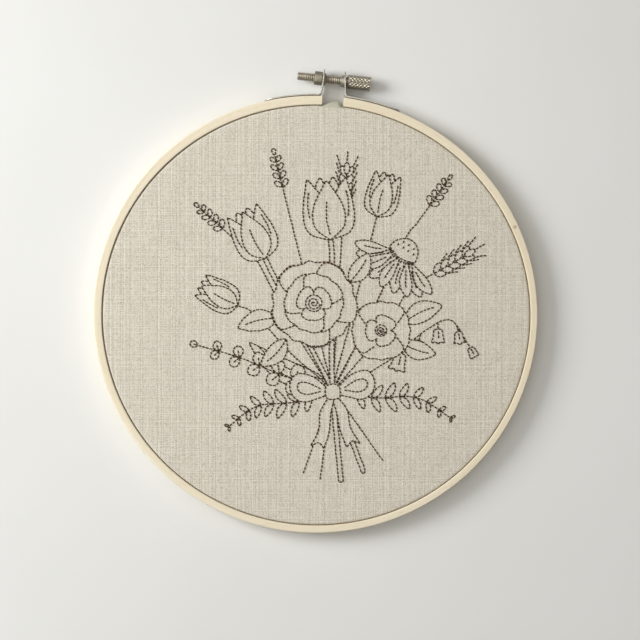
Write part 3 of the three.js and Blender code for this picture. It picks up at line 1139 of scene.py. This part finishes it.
def tarnish_effect():
    """Handled plating: blotches of tarnish from 0 to 1, fine scratches, and worn edges."""
    plating = Effect("Handled plating", Blotch_size=0.004, Wear=1.0)
    size = plating.given["Blotch size"]
    place = plating.vector("DIVIDE", plating.position, plating.join(size, size, size))
    blotches = plating.ramp(plating.noise(place, 1, 4, 0.6), 0.38, 0.66)
    scratched = plating.vector("MULTIPLY", plating.position, (2200, 9000, 9000))
    scratches = plating.noise(scratched, 1, 3)
    edge = plating.ramp(plating.add("ShaderNodeNewGeometry", output="Pointiness"), 0.52, 0.6)
    worn = plating.math("MULTIPLY", edge, plating.given["Wear"], clamp=True)
    shift = plating.plus(plating.times(blotches, 0.16), plating.times(scratches, 0.1))
    return plating.putting_out(
        Tarnish=blotches, Worn_edge=worn, Roughness_shift=shift, Height=scratches
    )


# Materials

BROWN_SPECK = (91.1, 48.7, 9.4)
# The linen's streaks: how they are scaled across and up the picture, and how strong they are.
LINEN_STREAKS = (((520, 40, 0), 0.022), ((40, 520, 0), 0.006))
# Between these distances a mark fades in or out: the painted shade on the puff's above the hoop's middle
# and to each side of it, the old grease's from the rod's middle line and to the left of the head.
PUFF_SHADE_ABOVE = (97.8, 98.5)
PUFF_SHADE_BESIDE = (5.6, 6.4)
GREASE_EDGE = (3.3, 4.2)
GREASE_END = (0.1, 0.6)


def wood_material(name, grain, light, dark, coarseness, shift, speck=None):
    finish = Finish(name)
    streaks = finish.effect(grain, Coarseness=coarseness, Shift=shift)
    colour = finish.mix(finish.ramp(streaks["Tone"], -1, 1), dark, light)
    colour = finish.stained_or_shaded(colour, streaks["Pores"], 0.35, srgb(176, 146, 104))
    if speck is not None:
        where = Vector(speck) * MM + HOOP_MIDDLE
        away = finish.vector("DISTANCE", finish.position, tuple(where), output="Value")
        colour = finish.stained_or_shaded(colour, finish.ramp(away, 0.0012, 0.0003), 0.6, srgb(150, 110, 66))
    finish.set("Base Color", colour)
    finish.set("Roughness", finish.ramp(streaks["Height"], -1, 1, 0.7, 0.54))
    finish.bump(streaks["Height"], 0.00004, 0.6)
    return finish.material


def linen_material(weave):
    finish = Finish("Natural linen", Roughness=0.92, Sheen_Weight=0.15, Sheen_Roughness=0.5)
    threads = finish.effect(weave, Pitch=LINEN_PITCH, Unevenness=1.0)
    colour = finish.mix(finish.ramp(threads["Tone"], -1, 1), srgb(200, 191, 172), srgb(244, 238, 226))
    turned = along_threads(finish)
    for stretch, depth in LINEN_STREAKS:
        streak = finish.noise(finish.vector("MULTIPLY", turned, stretch), detail=2)
        tone = finish.ramp(streak, 0.3, 0.7, 1 - depth, 1 + depth)
        colour = finish.mix(1.0, colour, finish.join(tone, tone, tone), "MULTIPLY")
    # The gaps between threads and the small holes get painted shade: a darker colour for the shadow seen
    # down into and through the weave.
    colour = finish.stained_or_shaded(colour, threads["Gaps"], 0.75, srgb(128, 116, 94))
    # The puff in the gap beside the screw curves away from the light. Its colour is painted shade, and
    # its weave bump is weakened so the weave hardly shows.
    x, y, _ = from_middle(finish)
    beyond = finish.ramp(y, PUFF_SHADE_ABOVE[0] * MM, PUFF_SHADE_ABOVE[1] * MM)
    beside = finish.ramp(finish.math("ABSOLUTE", x), PUFF_SHADE_BESIDE[1] * MM, PUFF_SHADE_BESIDE[0] * MM)
    painted_puff_shade = finish.times(beyond, beside)
    finish.set("Base Color", finish.stained_or_shaded(colour, painted_puff_shade, 0.85, srgb(184, 184, 166)))
    finish.bump(finish.times(threads["Height"], finish.ramp(painted_puff_shade, 0, 1, 1, 0.15)), 0.00022, 0.8)
    return finish.material


def thread_material():
    finish = Finish("Brown stranded cotton", Roughness=0.8, Specular_IOR_Level=0.2, Sheen_Weight=0.03)
    dyed = finish.noise(finish.position, 420, 2)
    colour = finish.mix(finish.ramp(dyed, 0.35, 0.65), srgb(60, 42, 24), srgb(90, 66, 40))
    red = finish.ramp(finish.noise(finish.position, 60, 1), 0.6, 0.72, 0, 0.35)
    finish.set("Base Color", finish.mix(red, colour, srgb(104, 54, 36)))
    finish.bump(finish.noise(finish.position, 9000, 2), 0.00003, 0.6)
    return finish.material


def steel_material(name, plating, clean, dull, worn, roughness, blotch, grease):
    """Plated steel. grease is how dark it is, from 0 to 1, where the screw's rod passes it."""
    finish = Finish(name, Metallic=1.0)
    plated = finish.effect(plating, Blotch_size=blotch, Wear=0.8)
    colour = finish.mix(plated["Tarnish"], clean, dull)
    colour = finish.mix(plated["Worn edge"], colour, worn)
    x, y, z = from_middle(finish)
    rod_middle = (0, SCREW_Y * MM, SCREW_Z * MM)
    away = finish.vector("DISTANCE", finish.join(0, y, z), rod_middle, output="Value")
    near_rod = finish.ramp(away, GREASE_EDGE[1] * MM, GREASE_EDGE[0] * MM)
    ends = [(HEAD_LEFT - end) * MM for end in GREASE_END]
    greasy = finish.times(near_rod, finish.ramp(x, *ends))
    finish.set("Base Color", finish.stained_or_shaded(colour, greasy, grease, srgb(92, 86, 72)))
    shine = finish.plus(plated["Roughness shift"], finish.times(greasy, 0.1))
    finish.set("Roughness", finish.plus(shine, roughness - 0.1))
    finish.bump(plated["Height"], 0.000012, 0.5)
    return finish.material


# Floor, light and camera

PIXELS_PER_MM = 2.105
PICTURE_WIDTH = 640 / PIXELS_PER_MM * MM
CAMERA_HEIGHT = 1.0
CAMERA_RIGHT = 0.00204
CAMERA_UP = -0.00299
FLOOR_REACH = 3


def in_picture(right, up, height):
    """A point that far to the right of and above the hoop's middle in the picture, in metres."""
    return HOOP_MIDDLE + right * PICTURE_RIGHT + up * PICTURE_UP + Vector((0, 0, height))


def make_floor():
    corners = [(x * FLOOR_REACH, y * FLOOR_REACH, 0) for x, y in ((-1, -1), (1, -1), (1, 1), (-1, 1))]
    mesh = bpy.data.meshes.new("floor")
    mesh.from_pydata(corners, [], [(0, 1, 2, 3)])
    finish = Finish("Pale painted board", Roughness=0.85)
    cloudy = finish.ramp(finish.noise(finish.position, 9, 2), 0.3, 0.7)
    finish.set("Base Color", finish.mix(cloudy, (0.775, 0.77, 0.75, 1), (0.80, 0.798, 0.782, 1)))
    mesh.materials.append(finish.material)
    add_to_scene("floor", mesh)


def add_lamp(name, right, up, height, size, energy, colour):
    """A square soft light that points at the hoop's middle."""
    lamp = bpy.data.lights.new(name, "AREA")
    lamp.shape = "SQUARE"
    lamp.size = size
    lamp.energy = energy
    lamp.color = colour
    obj = add_to_scene(name, lamp)
    obj.location = in_picture(right, up, height)
    aim = in_picture(0, 0, 0) - obj.location
    obj.rotation_euler = aim.to_track_quat("-Z", "Y").to_euler()


def make_lights():
    add_lamp(
        "window_light",
        right=-0.84, up=0.26, height=0.6, size=0.5, energy=9.5, colour=(0.985, 1.0, 1.0),
    )
    add_lamp(
        "ceiling_light",
        right=-0.1, up=0.1, height=1.3, size=1.8, energy=9.4, colour=(1.0, 0.975, 0.92),
    )


def make_room():
    """A soft room that is brighter overhead and on its left, as if by a window."""
    world = bpy.data.worlds.new("soft_room")
    bpy.context.scene.world = world
    world.use_nodes = True
    steps = Steps(world.node_tree)
    direction = steps.add("ShaderNodeTexCoord", output="Generated")
    side = steps.vector("DOT_PRODUCT", direction, tuple(-PICTURE_RIGHT), output="Value")
    overhead = steps.ramp(steps.split(direction)[2], 0, 1, 0.62, 1.35)
    background = world.node_tree.nodes["Background"].inputs
    colour = steps.mix(steps.ramp(side, -0.6, 0.4), (1.0, 0.95, 0.87, 1), (0.98, 0.995, 1.0, 1))
    steps.fill(background["Color"], colour)
    steps.fill(background["Strength"], steps.times(steps.ramp(side, -0.9, 0.9, 0.08, 0.22), overhead))


def make_camera():
    camera = bpy.data.cameras.new("camera")
    camera.sensor_width = 36
    camera.lens = camera.sensor_width * CAMERA_HEIGHT / PICTURE_WIDTH
    obj = add_to_scene("camera", camera)
    obj.location = in_picture(CAMERA_RIGHT, CAMERA_UP, RING_FRONT * MM + CAMERA_HEIGHT)
    obj.rotation_euler = (0, 0, PICTURE_TURN)
    bpy.context.scene.camera = obj


def main():
    make_camera()
    make_lights()
    make_room()
    make_floor()
    bpy.context.scene.view_settings.view_transform = "Standard"

    grain = wood_grain_effect()
    plating = tarnish_effect()
    outer_wood = wood_material(
        "Sanded pale wood", grain, light=srgb(240, 229, 206), dark=srgb(230, 216, 186),
        coarseness=1.0, shift=0.0, speck=BROWN_SPECK,
    )
    inner_wood = wood_material(
        "Sawn pale wood", grain, light=srgb(236, 222, 194), dark=srgb(214, 192, 152),
        coarseness=1.3, shift=5.0,
    )
    linen = linen_material(weave_effect())
    thread = thread_material()
    bracket_steel = steel_material(
        "Plated strip", plating, clean=(0.64, 0.61, 0.54, 1), dull=(0.46, 0.43, 0.37, 1),
        worn=(0.74, 0.71, 0.64, 1), roughness=0.5, blotch=0.003, grease=0.5,
    )
    nut_steel = steel_material(
        "Plated nut", plating, clean=(0.56, 0.50, 0.41, 1), dull=(0.38, 0.34, 0.26, 1),
        worn=(0.6, 0.56, 0.47, 1), roughness=0.46, blotch=0.0025, grease=0.45,
    )
    screw_steel = steel_material(
        "Plated turning", plating, clean=(0.56, 0.50, 0.41, 1), dull=(0.38, 0.34, 0.26, 1),
        worn=(0.78, 0.73, 0.63, 1), roughness=0.42, blotch=0.0025, grease=0.1,
    )

    make_outer_ring(outer_wood)
    inner_ring = make_inner_ring(inner_wood)
    cloth = make_cloth(linen)
    stitches = make_stitches(thread)
    bevelled_copy("left_bracket", "left_strap", 0.12, bracket_steel)
    bevelled_copy("right_bracket", "right_strap", 0.12, bracket_steel)
    bevelled_copy("clamp_nut", "hexagon_nut", 0.1, nut_steel)
    make_screw(screw_steel)


main()
